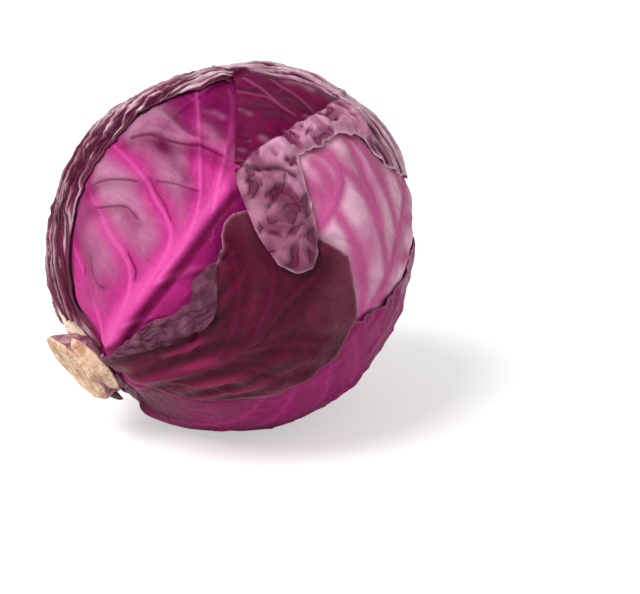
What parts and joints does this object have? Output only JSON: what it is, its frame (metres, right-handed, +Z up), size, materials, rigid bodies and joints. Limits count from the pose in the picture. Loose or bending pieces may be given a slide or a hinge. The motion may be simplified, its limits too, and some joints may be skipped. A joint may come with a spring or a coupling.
{
  "type": "red cabbage",
  "caption": "Round red cabbage head lying on its side, with a cut stalk, overlapping wrapper leaves and a tightly packed heart.",
  "frame": {"origin": "centre of the small flat spot the head rests on, straight below the middle of the head", "axes": "+Z up; -Y towards the side the front leaf shows; the stalk points to -X, a little to -Y and downwards"},
  "size_m": [0.1595, 0.1617, 0.1584],
  "materials": {
    "wrapper_leaf": "satin",
    "head_leaf": "satin",
    "heart": "satin",
    "stalk": "matte",
    "trimmed_stub": "matte"
  },
  "bodies": {
    "root": {"stalk": "stalk", "trimmed_stub_upper": "trimmed_stub", "trimmed_stub_front": "trimmed_stub", "trimmed_stub_lower": "trimmed_stub", "crown_leaf": "wrapper_leaf", "folded_leaf": "wrapper_leaf", "left_leaf": "wrapper_leaf", "front_leaf": "wrapper_leaf", "under_leaf": "wrapper_leaf", "right_leaf": "wrapper_leaf", "back_leaf": "wrapper_leaf", "head_leaf_01": "head_leaf", "head_leaf_02": "head_leaf", "head_leaf_03": "head_leaf", "head_leaf_04": "head_leaf", "head_leaf_05": "head_leaf", "head_leaf_06": "head_leaf", "head_leaf_07": "head_leaf", "head_leaf_08": "head_leaf", "heart": "heart"}
  },
  "joints": []
}
